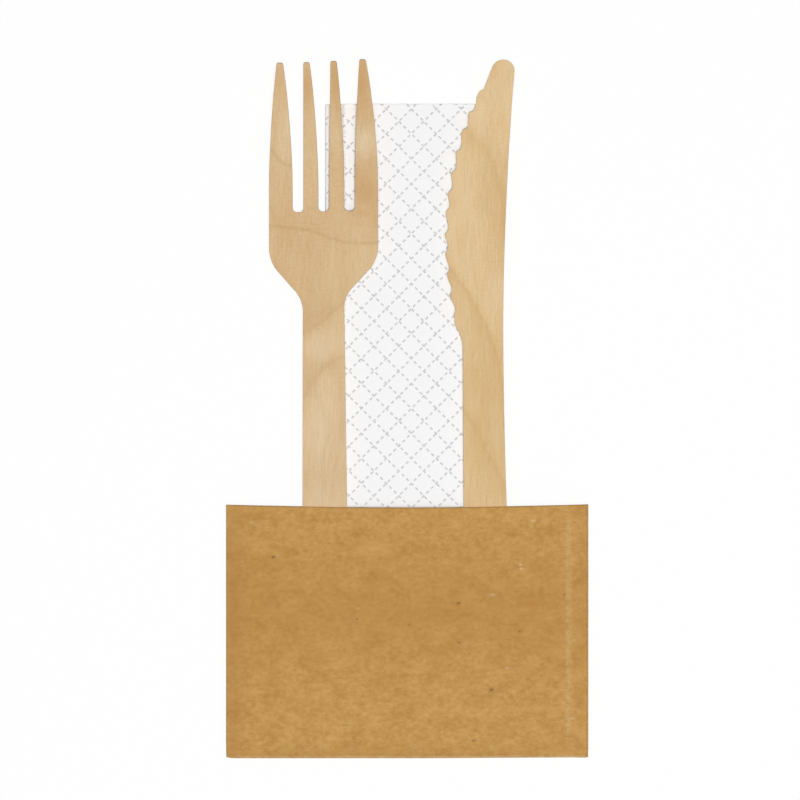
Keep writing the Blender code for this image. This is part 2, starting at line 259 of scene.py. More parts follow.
def makeGrowthGroup():
    # a growth line and the tone on either side of it, where Level says how high it stands
    tree, given, result = newGroup(
        "growthLine", {"Coordinates": nowhere, "Along": 0.5, "Level": 0.0, "Slant": 1.0, "Width": 0.3 * mm,
                       "Above": 2 * mm, "Below": 2 * mm, "Hold": 0.48}, ["Line", "Above", "Below"])
    wander = calc(tree, "SUBTRACT", noiseAt(tree, given["Coordinates"], 420.0), 0.5)
    gap = calc(tree, "SUBTRACT", axesOf(tree, given["Coordinates"])[1], given["Level"])
    gap = weighted(tree, times(tree, gap, given["Slant"]), (wander, 1 * mm))
    pastEnd = calc(tree, "ABSOLUTE", calc(tree, "SUBTRACT", given["Along"], 0.5))
    kept = spreadOut(tree, pastEnd, given["Hold"], 0.56, 1.0, 0.0)
    near = calc(tree, "POWER", calc(tree, "ABSOLUTE", calc(tree, "DIVIDE", gap, given["Width"])), 2.0)
    uneven = spreadOut(tree, noiseAt(tree, given["Coordinates"], 700.0, 1.0), 0.30, 0.60, 0.45, 1.0)
    feed(tree, result["Line"], times(tree, fadeOut(tree, near), uneven, kept))
    for name, way in (("Above", 1.0), ("Below", -1.0)):
        beyond = times(tree, gap, way)
        share = calc(tree, "DIVIDE", calc(tree, "MAXIMUM", beyond, 0.0), given[name])
        side = spreadOut(tree, beyond, -0.2 * mm, 0.3 * mm)
        feed(tree, result[name], times(tree, fadeOut(tree, share), side, kept))
    return tree


def makeSpotGroup():
    # one soft round or oval spot
    tree, given, result = newGroup(
        "softSpot",
        {"Coordinates": nowhere, "Centre": nowhere, "Size": (mm, mm, mm), "Strength": 1.0}, ["Spot"])
    away = vectorCalc(tree, "SUBTRACT", given["Coordinates"], given["Centre"])[0]
    share = vectorCalc(tree, "DIVIDE", away, given["Size"])[0]
    inside = vectorCalc(tree, "DOT_PRODUCT", share, share)["Value"]
    feed(tree, result["Spot"], times(tree, fadeOut(tree, inside), given["Strength"]))
    return tree


def placeSpots(tree, spotGroup, coordinates, spots, height, depth):
    # spots: X and Y in the frame, half width, half height (all mm) and strength
    mask = 0.0
    for x, y, wide, high, strength in spots:
        spot = useGroup(tree, spotGroup, Coordinates=coordinates, Centre=(x * mm, y * mm, height),
                        Size=(wide * mm, high * mm, depth), Strength=strength)
        mask = calc(tree, "MAXIMUM", mask, spot["Spot"])
    return mask


# Growth lines: the points they pass through (X and Y in the frame, mm), then the line's width (mm) and
# strength, and how far the tone reaches (mm) and how strong it is above the line and below it
forkWood = {
    "pale": (0.714, 0.520, 0.294, 1), "deep": (0.577, 0.361, 0.165, 1), "shift": (0.013, 0.021, 0.0),
    "fibres": 0.27, "mottle": 0.28, "pores": 0.07,
    "line": (0.430, 0.235, 0.070, 1), "warm": (0.480, 0.229, 0.052, 1), "light": (0.800, 0.660, 0.450, 1),
    "side": (0.640, 0.500, 0.350, 1), "endGrain": (0.120, 0.085, 0.045, 1),
    "growth": [
        (((-32.5, 43.0), (-27.0, 42.4), (-22.4, 41.7), (-20.0, 40.8), (-17.7, 39.9), (-13.0, 39.1),
          (-7.0, 38.9)), 0.42, 0.27, 1.6, 0.06, 1.2, 0.05),
        (((-13.0, 43.5), (-7.0, 42.7)), 0.30, 0.12, 1.5, 0.04, 1.0, 0.0),
        (((-32.2, 61.1), (-30.7, 59.2), (-29.4, 57.9), (-27.4, 56.7)), 0.42, 0.24, 2.2, 0.07, 1.5, 0.03),
        (((-24.6, 58.4), (-22.0, 56.2)), 0.35, 0.12, 2.0, 0.04, 1.5, 0.02),
        (((-23.4, 63.2), (-21.6, 59.8)), 0.40, 0.10, 1.5, 0.03, 1.5, 0.02),
        (((-18.6, 56.6), (-15.4, 55.6)), 0.70, 0.10, 2.0, 0.04, 2.0, 0.04),
        (((-24.6, 16.9), (-20.5, 19.6), (-17.5, 22.1), (-14.8, 24.6)), 0.85, 0.08, 6.0, 0.20, 0.5, 0.0),
        (((-24.6, 2.2), (-22.6, 5.4), (-20.3, 8.6), (-17.7, 10.5), (-14.8, 11.9)),
         0.90, 0.12, 2.6, 0.14, 1.6, 0.03),
        (((-20.2, -15.0), (-19.6, -10.0), (-18.5, -5.9), (-16.6, -4.1), (-14.8, -3.0)),
         0.80, 0.07, 1.5, 0.05, 5.0, 0.09),
    ],
    "warmSpots": [
        (-23.6, 75.8, 2.2, 6.0, 0.60), (-17.2, 77.0, 2.2, 6.5, 0.46), (-11.2, 76.5, 2.6, 5.5, 0.42),
        (-23.6, 79.3, 0.6, 0.5, 0.72), (-29.8, 76.5, 3.0, 6.0, 0.22), (-10.2, 50.4, 4.2, 3.6, 0.34),
        (-10.8, 45.9, 3.2, 1.2, 0.26), (-7.6, 47.5, 1.0, 7.0, 0.22), (-31.2, 72.0, 1.0, 7.0, 0.12),
        (-15.4, 2.5, 0.8, 9.0, 0.14),
    ],
    "lightSpots": [
        (-10.4, 62.5, 3.2, 4.0, 0.62), (-17.0, 64.0, 1.6, 4.5, 0.26), (-20.5, 14.5, 5.5, 3.6, 0.50),
        (-19.5, -6.0, 7.0, 13.0, 0.52), (-19.5, -24.0, 7.0, 12.0, 0.46), (-29.6, 63.0, 3.4, 12.0, 0.26),
    ],
}
knifeWood = {
    "pale": (0.775, 0.575, 0.325, 1), "deep": (0.640, 0.425, 0.200, 1), "shift": (0.140, 0.060, 0.0),
    "fibres": 0.46, "mottle": 0.26, "pores": 0.12,
    "line": (0.500, 0.275, 0.065, 1), "warm": (0.570, 0.320, 0.100, 1), "light": (0.830, 0.660, 0.420, 1),
    "side": (0.650, 0.510, 0.360, 1), "endGrain": (0.140, 0.100, 0.055, 1),
    "growth": [
        (((13.4, 68.2), (15.9, 63.9), (19.0, 60.8), (21.0, 56.1), (22.2, 51.0), (23.2, 45.0)),
         1.00, 0.14, 0.8, 0.04, 4.0, 0.13),
        (((9.4, 34.6), (13.6, 28.7), (15.9, 24.8), (18.7, 20.1), (20.6, 14.6), (22.8, 4.5)),
         0.90, 0.15, 0.5, 0.0, 7.0, 0.25),
        (((13.0, 0.4), (14.7, -1.9), (16.7, -4.6), (18.3, -8.5), (20.2, -12.0), (23.6, -19.4)),
         0.80, 0.16, 0.5, 0.0, 6.0, 0.18),
    ],
    "warmSpots": [
        (15.5, -3.0, 0.9, 0.9, 0.35), (15.0, -22.0, 1.6, 11.0, 0.30), (22.6, 44.0, 0.8, 9.0, 0.32),
        (22.4, -19.0, 1.0, 7.0, 0.26), (12.4, 40.0, 1.2, 4.0, 0.16), (14.8, 63.0, 1.8, 3.2, 0.26),
        (15.4, 12.6, 0.35, 0.9, 0.45), (18.6, -8.0, 7.0, 22.0, 0.27),
    ],
    "lightSpots": [
        (20.5, 74.0, 4.0, 5.0, 0.20), (20.6, 28.0, 2.6, 6.5, 0.34), (21.0, -3.0, 1.8, 6.0, 0.30),
        (15.0, 44.0, 5.0, 8.0, 0.14),
    ],
}


def growthLevel(tree, coordinates, points):
    # how far along the line a place is (0 to 1), how high the line stands there, and how level it lies
    xs, ys = zip(*points)
    bottom, span, reach = min(ys), max(max(ys) - min(ys), 0.01), xs[-1] - xs[0]
    start = calc(tree, "SUBTRACT", axesOf(tree, coordinates)[0], xs[0] * mm)
    along = calc(tree, "DIVIDE", start, reach * mm)
    curve = tree.nodes.new("ShaderNodeFloatCurve")
    knots = curve.mapping.curves[0].points
    shares = [((x - xs[0]) / reach, (y - bottom) / span) for x, y in points]
    knots[0].location = shares[0]
    knots[1].location = shares[-1]
    for share in shares[1:-1]:
        knots.new(*share)
    curve.mapping.update()
    feed(tree, curve.inputs["Value"], along)
    level = weighted(tree, bottom * mm, (curve.outputs[0], span * mm))
    return along, level, math.cos(math.atan2(ys[-1] - ys[0], reach))


def makeBirch(name, looks, groups):
    material, tree, shader, coordinates = newMaterial(name)
    grain = useGroup(tree, groups["grain"], Coordinates=coordinates, Shift=looks["shift"])
    level = 0.25 - 0.5 * (looks["fibres"] + looks["mottle"])
    tone = weighted(tree, level, (grain["Figure"], 0.70), (grain["Fibre"], looks["fibres"]),
                    (grain["Mottle"], looks["mottle"]))
    colour = blendColours(tree, spreadOut(tree, tone, 0.34, 0.86), looks["deep"], looks["pale"])
    for spots, paint in ((looks["lightSpots"], looks["light"]), (looks["warmSpots"], looks["warm"])):
        mask = placeSpots(tree, groups["spot"], coordinates, spots, forkBox[0][2], 15 * mm)
        mask = times(tree, mask, spreadOut(tree, grain["Fibre"], 0.25, 0.65, 0.65, 1.0))
        colour = blendColours(tree, mask, colour, paint)
    for points, width, lineDark, above, aboveDark, below, belowDark in looks["growth"]:
        along, level, slant = growthLevel(tree, coordinates, points)
        hold = 0.48 if len(points) > 2 else 0.10   # short lines fade out along their length
        line = useGroup(tree, groups["growth"], Coordinates=coordinates, Along=along, Level=level,
                        Slant=slant, Width=width * mm, Above=above * mm, Below=below * mm, Hold=hold)
        dark = weighted(tree, 0.0, (line["Line"], lineDark), (line["Above"], aboveDark),
                        (line["Below"], belowDark))
        colour = blendColours(tree, dark, colour, looks["line"])
    tilt = calc(tree, "SUBTRACT", 1.0, facing(tree, 2))
    for mask, paint in ((times(tree, grain["Pores"], looks["pores"]), "line"),
                        (spreadOut(tree, tilt, 0.15, 0.70, 0.0, 0.60), "side"),
                        (spreadOut(tree, facing(tree, 1), 0.35, 0.80, 0.0, 0.60), "endGrain")):
        colour = blendColours(tree, mask, colour, looks[paint])
    roughness = spreadOut(tree, grain["Fibre"], 0.3, 0.7, 0.72, 0.56)
    finishMaterial(tree, shader, colour, roughness, grain["Height"], 0.05 * mm, 0.6)
    return material


# Paper: cloudy fibre, shared by kraft and tissue at their own scales

def makePulpGroup():
    tree, given, result = newGroup("paperPulp", {"Coordinates": nowhere, "Cloud": 300.0, "Fibre": 2500.0},
                                   ["Clouds", "Fibres", "Height"])
    clouds = noiseAt(tree, given["Coordinates"], given["Cloud"], 4.0, 0.6)
    bent = noiseAt(tree, given["Coordinates"], times(tree, given["Fibre"], 0.35), output="Color")
    bent = vectorCalc(tree, "MULTIPLY_ADD", bent, (0.9 * mm, 0.9 * mm, 0.9 * mm), given["Coordinates"])[0]
    strands = cellsAt(tree, bent, given["Fibre"], "DISTANCE_TO_EDGE")["Distance"]
    fibres = spreadOut(tree, strands, 0.0, 0.22, 1.0, 0.0)
    feed(tree, result["Clouds"], clouds)
    feed(tree, result["Fibres"], fibres)
    feed(tree, result["Height"], weighted(tree, clouds, (fibres, 0.35)))
    return tree


# Specks and flecks: X and Y in the frame, half width, half height (mm) and strength
kraftLooks = {
    # the worn tone also paints highlight on the pocket's bottom edge and ridge
    "pale": (0.625, 0.362, 0.117, 1), "deep": (0.430, 0.214, 0.049, 1), "wornAndHighlight": (0.650, 0.440, 0.220, 1),
    # the speck tone also paints shade
    "speckAndShade": (0.165, 0.072, 0.020, 1), "fleck": (0.790, 0.570, 0.330, 1),
    "pulp": {"Cloud": 900.0, "Fibre": 2300.0},
    "belts": [(0.0, -46.8, 150.0, 13.0, 0.44), (0.0, -80.0, 150.0, 1.4, 0.12)],
    "sides": [(-42.5, -50.0, 3.4, 90.0, 0.64), (42.5, -50.0, 2.8, 90.0, 0.16)],
    "specks": [
        (-31.4, -34.8, 0.50, 0.34, 0.80), (-11.8, -49.4, 0.34, 0.26, 0.55), (12.0, -45.6, 0.44, 0.34, 0.80),
        (12.2, -54.9, 0.34, 0.26, 0.55), (26.4, -52.3, 0.34, 0.28, 0.55), (19.8, -65.9, 0.52, 0.36, 0.85),
        (16.0, -75.5, 0.34, 0.26, 0.50), (15.6, -77.9, 0.42, 0.28, 0.70), (36.9, -43.6, 0.34, 0.30, 0.50),
        (-18.4, -31.6, 0.36, 0.26, 0.30), (24.6, -67.9, 0.30, 0.30, 0.28), (39.6, -65.4, 0.30, 0.30, 0.30),
        (-14.6, -74.2, 1.60, 0.22, 0.28), (-38.4, -43.0, 0.40, 0.24, 0.24), (-42.3, -71.6, 0.30, 0.40, 0.45),
    ],
    "flecks": [
        (29.6, -26.3, 0.50, 0.30, 0.50), (26.6, -36.6, 0.38, 0.30, 0.55), (26.8, -37.5, 0.38, 0.26, 0.60),
        (20.0, -43.6, 0.60, 0.28, 0.40), (39.2, -54.3, 0.42, 0.28, 0.40), (-36.6, -26.6, 0.40, 0.26, 0.35),
    ],
}


def scatter(tree, coordinates, scale, share, size):
    # a few round spots: cells of a Voronoi pattern picked by their random colour
    cells = cellsAt(tree, coordinates, scale)
    pick = addNode(tree, "SeparateColor", ((0, cells["Color"]),))
    outside = calc(tree, "SUBTRACT", cells["Distance"], times(tree, pick[1], size))
    chosen = calc(tree, "LESS_THAN", pick[0], share)
    return times(tree, spreadOut(tree, outside, 0.0, 0.10, 1.0, 0.0), chosen)


def attribute(tree, name):
    return addNode(tree, "Attribute", attribute_name=name)["Fac"]


def makeKraft(looks, groups):
    material, tree, shader, coordinates = newMaterial("kraftPaper")
    flow = stretched(tree, coordinates, (0.78, 1.0, 1.0))   # the fibres run across the pocket
    pulp = useGroup(tree, groups["pulp"], Coordinates=flow, **looks["pulp"])
    streaks = noiseAt(tree, stretched(tree, coordinates, (900, 2400, 2400)), 1.0)
    tone = weighted(tree, 0.0, (pulp["Clouds"], 0.44), (noiseAt(tree, flow, 260.0, 3.0), 0.38),
                    (streaks, 0.14), (pulp["Fibres"], 0.05))
    colour = blendColours(tree, spreadOut(tree, tone, 0.26, 0.74), looks["deep"], looks["pale"])

    def marks(name):
        return placeSpots(tree, groups["spot"], coordinates, looks[name], pocketTop, 3 * mm)

    # pale marks: wear on the folds, and painted highlight on the bottom edge and the ridge
    rubAndHighlight = times(tree, attribute(tree, "wearAndHighlight"), spreadOut(tree, pulp["Clouds"], 0.32, 0.62, 0.30, 1.0))
    specks = times(tree, scatter(tree, flow, 230.0, 0.10, 0.06), 0.28)
    flecks = times(tree, scatter(tree, flow, 330.0, 0.07, 0.08), 0.20)
    for mask, paint in ((marks("belts"), "deep"), (marks("sides"), "deep"), (rubAndHighlight, "wornAndHighlight"),
                        # painted shade in the bottom crease, along the mouth's lip and in a band by the left
                        # fold
                        (attribute(tree, "paintedShade"), "speckAndShade"),
                        (calc(tree, "MAXIMUM", marks("specks"), specks), "speckAndShade"),
                        (calc(tree, "MAXIMUM", marks("flecks"), flecks), "fleck")):
        colour = blendColours(tree, mask, colour, looks[paint])
    roughness = spreadOut(tree, pulp["Clouds"], 0.3, 0.7, 0.92, 0.80)
    height = calc(tree, "ADD", pulp["Height"], streaks)
    finishMaterial(tree, shader, colour, roughness, height, 0.06 * mm, 0.45)
    return material


# Tissue: the dashes of the diamond pattern lie on two sets of slanting lines
napkinLooks = {
    "paper": (0.936, 0.936, 0.940, 1), "hollow": (0.80, 0.80, 0.82, 1), "dash": (0.585, 0.585, 0.600, 1),
    "ply": 0.040 * mm, "plyPitch": 0.070 * mm, "leaf": 0.12 * mm, "leafPitch": 0.175 * mm,
    "flatSize": (300 * mm, 300 * mm), "halvings": 3, "foldSteps": 6,
    "foldSquare": 0.5,                        # 1 is a round fold, and less is squarer
    "forkGap": 0.3 * mm, "fall": 15.0 * mm,   # below the fork in the pocket; from the mouth to the table
    "puff": 0.10 * mm, "puffSize": 9 * mm, "sink": 0.05 * mm, "loosen": 30 * mm, "uneven": 0.25 * mm,
    "endRows": (1.5 * mm, 0.6 * mm),          # the last rows below the cross fold
    "lineSpacing": 4.151 * mm, "dashPeriod": 1.515 * mm, "dashLength": 0.82 * mm, "dashWidth": 0.40 * mm,
    "dashPhase": 0.30 * mm, "dent": 0.026 * mm, "dentRim": 0.05 * mm, "nearest": 0.06 * mm,
    "crossing": (0.953 * mm, 64.645 * mm),    # where two of the pattern's lines cross, in the frame
    "pulp": {"Cloud": 700.0, "Fibre": 2600.0},
}


def makeDashGroup(looks):
    tree, given, result = newGroup(
        "dashedDiamonds",
        {"Coordinates": nowhere, "Spacing": looks["lineSpacing"], "Period": looks["dashPeriod"],
         "Length": looks["dashLength"], "Width": looks["dashWidth"], "Phase": looks["dashPhase"]}, ["Dashes"])
    x, y = looks["crossing"]
    centred = stretched(tree, given["Coordinates"], (1, 1, 1), (-x, -y, 0))
    turned = addNode(tree, "VectorRotate", (("Vector", centred), ("Angle", math.radians(-45))),
                     rotation_type="Z_AXIS")
    axes = axesOf(tree, turned[0])

    def dashes(along, across):
        half = times(tree, given["Spacing"], 0.5)
        lane = calc(tree, "FLOORED_MODULO", calc(tree, "ADD", across, half), given["Spacing"])
        offLine = calc(tree, "ABSOLUTE", calc(tree, "SUBTRACT", lane, half))
        onLine = calc(tree, "LESS_THAN", offLine, times(tree, given["Width"], 0.5))
        step = calc(tree, "FLOORED_MODULO", calc(tree, "SUBTRACT", along, given["Phase"]), given["Period"])
        return times(tree, onLine, calc(tree, "LESS_THAN", step, given["Length"]))

    feed(tree, result["Dashes"], calc(tree, "MAXIMUM", dashes(axes[0], axes[1]), dashes(axes[1], axes[0])))
    return tree


def makeTissue(looks, groups):
    material, tree, shader, coordinates = newMaterial("tissuePaper")
    pulp = useGroup(tree, groups["pulp"], Coordinates=coordinates, **looks["pulp"])
    dashes = useGroup(tree, groups["dashes"], Coordinates=coordinates)["Dashes"]
    thin = spreadOut(tree, pulp["Clouds"], 0.3, 0.7, 0.0, 0.05)
    colour = blendColours(tree, thin, looks["paper"], looks["hollow"])
    level = spreadOut(tree, facing(tree, 2), 0.35, 0.75)   # no grey dashes on the folds' edges
    # the dashes are drawn grey
    dashGrey = times(tree, dashes, spreadOut(tree, pulp["Clouds"], 0.25, 0.75, 0.70, 1.0), level)
    roughness = spreadOut(tree, pulp["Clouds"], 0.3, 0.7, 0.97, 0.90)
    colour = blendColours(tree, dashGrey, colour, looks["dash"])
    finishMaterial(tree, shader, colour, roughness, pulp["Height"], 0.05 * mm, 0.5)
    return material


# Fork and knife blanks: one face from a few corners, softened, then given its thickness

def makeBlank(shape, corners, cuts):
    # corners: x, y, how much is rounded off and in how many steps; cuts: places along the length
    bm = bmesh.new()
    verts = [bm.verts.new((x, y, 0.0)) for x, y, soft, steps in corners]
    bm.faces.new(verts)
    for vert, (x, y, soft, steps) in zip(verts, corners):
        if soft:
            bmesh.ops.bevel(bm, geom=[vert], offset=soft, offset_type="OFFSET", segments=steps,
                            profile=0.5, affect="VERTICES", material=-1, clamp_overlap=True)
    raised = bmesh.ops.extrude_face_region(bm, geom=bm.faces[:])["geom"]
    lifted = [item for item in raised if isinstance(item, bmesh.types.BMVert)]
    bmesh.ops.translate(bm, verts=lifted, vec=(0.0, 0.0, shape["thickness"]))
    rims = [item for item in bm.edges if item.verts[0].co.z == item.verts[1].co.z]
    bmesh.ops.bevel(bm, geom=rims, offset=shape["edge"], segments=shape["edgeSteps"], profile=0.5,
                    affect="EDGES", material=-1, clamp_overlap=True)
    bmesh.ops.recalc_face_normals(bm, faces=bm.faces)
    flats = [item for item in bm.faces if abs(item.normal.z) > 0.999 and len(item.verts) > 8]
    bmesh.ops.inset_region(bm, faces=flats, thickness=shape["rim"], use_even_offset=True)  # for level shading
    for y in cuts:
        bmesh.ops.bisect_plane(bm, geom=everything(bm), plane_co=(0, y, 0), plane_no=(0, 1, 0), dist=1e-7)
    bmesh.ops.triangulate(bm, faces=bm.faces)
    return bm


forkShape = {
    "thickness": 1.5 * mm, "edge": 0.17 * mm, "edgeSteps": 3, "rim": 0.05 * mm,
    "handleEnds": (5.1 * mm, 6.2 * mm), "handleEndSoft": 4.4 * mm,   # left and right, as in the next lines
    "necks": (4.92 * mm, 4.77 * mm), "neckDrops": (56.5 * mm, 55.7 * mm), "neckSoft": 2.4 * mm,
    "shoulderDrops": (47.4 * mm, 47.0 * mm), "shoulderSoft": 2.8 * mm, "shoulderTrim": 0.10 * mm,
    "slotDepths": (35.8 * mm, 35.65 * mm, 35.5 * mm), "slotWidth": 2.5 * mm, "slotPitch": 6.05 * mm,
    "slotSoft": 1.0 * mm, "taper": 30.5 * mm, "tipWidth": 1.48 * mm, "tipSoft": 0.42 * mm,
    "leans": (-0.2 * mm, -1.0 * mm, -0.7 * mm, -0.9 * mm),       # tip centre from base centre
    "shortfalls": (0.8 * mm, 0.7 * mm, 0.4 * mm, 0.0),           # tip below the longest tine
    "pressRise": 3.0 * mm,
}


def forkCorners(shape, length, head):
    edges = (-head / 2, head / 2 - shape["shoulderTrim"])
    tines = len(shape["leans"])
    slots = [(i - (tines - 2) / 2) * shape["slotPitch"] for i in range(tines - 1)]
    lefts = [edges[0]] + [slot + shape["slotWidth"] / 2 for slot in slots]
    rights = [slot - shape["slotWidth"] / 2 for slot in slots] + [edges[1]]
    bend = shape["taper"] / 2
    leftFlank, rightFlank = [
        [(way * shape["handleEnds"][side], 0.0, shape["handleEndSoft"], 8),
         (way * shape["necks"][side], length - shape["neckDrops"][side], shape["neckSoft"], 8),
         (edges[side], length - shape["shoulderDrops"][side], shape["shoulderSoft"], 8)]
        for side, way in ((0, -1), (1, 1))]
    corners = rightFlank
    for i in reversed(range(tines)):
        tipX = (lefts[i] + rights[i]) / 2 + shape["leans"][i]
        tipY = length - shape["shortfalls"][i]
        if i < tines - 1:
            corners.append((rights[i], length - shape["slotDepths"][i], shape["slotSoft"], 6))
        corners += [(rights[i], tipY - bend, bend * 0.95, 8),
                    (tipX + shape["tipWidth"] / 2, tipY, shape["tipSoft"], 4),
                    (tipX - shape["tipWidth"] / 2, tipY, shape["tipSoft"], 4),
                    (lefts[i], tipY - bend, bend * 0.95, 8)]
        if i > 0:
            corners.append((lefts[i], length - shape["slotDepths"][i - 1], shape["slotSoft"], 6))
    return corners + leftFlank[::-1]


def makeFork(shape, material):
    low, high = forkBox
    length = high[1] - low[1]
    neckY = length - shape["neckDrops"][1]
    corners = forkCorners(shape, length, high[0] - low[0])
    bm = makeBlank(shape, corners, spread(neckY, length, 24)[:-1])
    for vert in bm.verts:
        share = ramp(vert.co.y, neckY, length)
        slope = 2 * shape["pressRise"] * share / (length - neckY)
        vert.co.y -= vert.co.z * slope   # the upper face is the inside of the bend
        vert.co.z += shape["pressRise"] * share ** 2
    bmesh.ops.translate(bm, verts=bm.verts, vec=((low[0] + high[0]) / 2, low[1], low[2]))
    finishPiece("birchFork", bm, material, "fork")
    print("fork made")


knifeShape = {
    "axisX": 18.32 * mm,   # the handle's own line, from which the sizes to left and right are taken
    "thickness": 1.5 * mm, "edge": 0.15 * mm, "edgeSteps": 3, "rim": 0.04 * mm,
    "handleLeft": 4.7 * mm, "handleRight": 5.45 * mm, "handleEndSoft": 4.4 * mm, "gripDrop": 115.0 * mm,
    "waist": 4.23 * mm, "waistDrop": 62.3 * mm, "backTop": 6.9 * mm,
    "tipWidth": 4.6 * mm, "tipSoftRight": 2.7 * mm, "tipSoftLeft": 1.85 * mm,
    "belly": 9.48 * mm, "bellyDrop": 41.8 * mm, "bellyRadius": 79.5 * mm,
    "toothPitch": 4.90 * mm, "firstTooth": 35.3 * mm,   # along the belly from its furthest point
    "toothNudges": (0.45, -0.30, 0.25, -0.20, -0.40, -0.30, 0.20, -0.20, 0.25, 0.10, 0.10, 0.25),   # mm
    "toothSoft": 0.20 * mm,   # at least edge + rim
    "tipTrim": 0.25 * mm, "toothTrim": 0.05 * mm,   # off the first point, and off the others
    "crownReach": 1.1 * mm, "crownTrim": 0.17 * mm, "crownSoft": 0.36 * mm,
    "notchDepths": (0.95 * mm, 0.68 * mm), "notchSoft": 0.36 * mm, "notchSlope": 0.86,
    "notchFroms": (0.80 * mm, 1.20 * mm), "notchTos": (2.05 * mm, 2.50 * mm),   # above the point: first, last
    "heelReach": 7.1 * mm, "heelReachDrop": 62.5 * mm, "heelLeft": 5.3 * mm, "heelDrop": 65.1 * mm,
    "heelSoft": 2.4 * mm,
}


def knifeCorners(shape, length):
    gripY = length - shape["gripDrop"]
    waistY = length - shape["waistDrop"]
    tipY = length - shape["tipSoftRight"]
    corners = [(shape["handleRight"], 0.0, shape["handleEndSoft"], 8),
               (shape["handleRight"], gripY, 0.0, 0),
               (shape["waist"], (gripY + waistY) / 2, (waistY - gripY) * 0.49, 10),
               (shape["waist"], (waistY + tipY) / 2, (tipY - waistY) * 0.49, 10),
               (shape["backTop"], tipY, 0.0, 0),
               (shape["backTop"], length, shape["tipSoftRight"] * 0.98, 8),
               (shape["backTop"] - shape["tipWidth"], length, shape["tipSoftLeft"], 8)]
    centreX = shape["bellyRadius"] - shape["belly"]
    centreY = length - shape["bellyDrop"]
    last = len(shape["toothNudges"]) - 1
    depths, froms, tos = [spread(*shape[name], last) for name in ("notchDepths", "notchFroms", "notchTos")]
    for i, nudge in enumerate(shape["toothNudges"]):
        place = shape["firstTooth"] - i * shape["toothPitch"]
        point = place + nudge * mm
        outline = [(place + tos[i], depths[i] * shape["notchSlope"], shape["notchSoft"]),
                   (point + froms[i], depths[i], shape["notchSoft"]),
                   (point, shape["toothTrim"] if i else shape["tipTrim"], shape["toothSoft"])]
        if i < last:
            outline.append((place - shape["crownReach"], shape["crownTrim"], shape["crownSoft"]))
        for along, inward, soft in outline:
            angle = along / shape["bellyRadius"]
            radius = shape["bellyRadius"] - inward
            corners.append((centreX - radius * math.cos(angle), centreY + radius * math.sin(angle), soft, 4))
    corners += [(-shape["heelReach"], length - shape["heelReachDrop"], shape["notchSoft"], 4),
                (-shape["heelLeft"], length - shape["heelDrop"], shape["heelSoft"], 8),
                (-shape["handleLeft"], 0.0, shape["handleEndSoft"], 8)]
    return corners


def makeKnife(shape, material):
    low, high = knifeBox
    length = high[1] - low[1]
    bm = makeBlank(shape, knifeCorners(shape, length), spread(0.0, length, 20)[1:-1])
    bmesh.ops.translate(bm, verts=bm.verts, vec=(shape["axisX"], low[1], low[2]))
    finishPiece("birchKnife", bm, material, "knife")
    print("knife made")


# Napkin: one square sheet, folded once across, then in half lengthwise three times

def foldedOrder(halvings):
    columns = [[segment] for segment in range(2 ** halvings)]
    while len(columns) > 1:
        half = len(columns) // 2
        columns = [left + right[::-1] for left, right in zip(columns[:half], reversed(columns[half:]))]
    return columns[0]


def napkinPath(looks):
    # the doubled strip's middle line: (x, height), its side direction, and whether it is the top leaf
    left, right = napkinBox[0][0], napkinBox[1][0]
    stack = foldedOrder(looks["halvings"])
    level = [looks["leaf"] / 2 + stack.index(i) * looks["leafPitch"] for i in range(len(stack))]
    turns = list(zip(level, level[1:]))
    reach = [max(abs(a - b) for a, b in turns[side::2]) / 2 + looks["leaf"] / 2 for side in (0, 1)]
    foldX = (left + reach[0], right - reach[1])
    points = [((right, level[0]), (0.0, 1.0), False)]
    for i, height in enumerate(level):
        side = 1 if i % 2 else -1
        end = foldX[i % 2] if i < len(turns) else right
        for x in spread(points[-1][0][0], end, 10)[1:]:
            points.append(((x, height), (0.0, -side), height == max(level)))
        if i == len(turns):
            break
        radius = (level[i + 1] - height) / 2
        for angle in spread(0.0, math.pi, looks["foldSteps"])[1:]:
            outward = abs(radius) * math.sin(angle) ** looks["foldSquare"]
            lean = (math.copysign(math.sin(angle), radius), -side * math.cos(angle))
            points.append(((end + side * outward, height + radius * (1 - math.cos(angle))), lean, False))
    return points


def napkinDrape(y, looks):
    # underside and swelling of the stack: pressed in the pocket, loose beyond its mouth
    thickness = looks["leaf"] + (2 ** looks["halvings"] - 1) * looks["leafPitch"]
    raised = forkBox[0][2] - thickness - looks["forkGap"]
    underside = raised * (1 - smooth(ramp(y, mouthY, mouthY + looks["fall"])))
    return underside, (raised + thickness - underside) / thickness


def napkinPlace(x, y, height, looks):
    underside, swell = napkinDrape(y, looks)
    loose = smooth(ramp(y, mouthY, mouthY + looks["loosen"]))
    wave = (ripple(x, y, looks["puffSize"], 3.1) * looks["puff"] - looks["sink"]) * loose
    return Vector((x, y, max(underside + height * swell + wave, looks["ply"] / 2)))


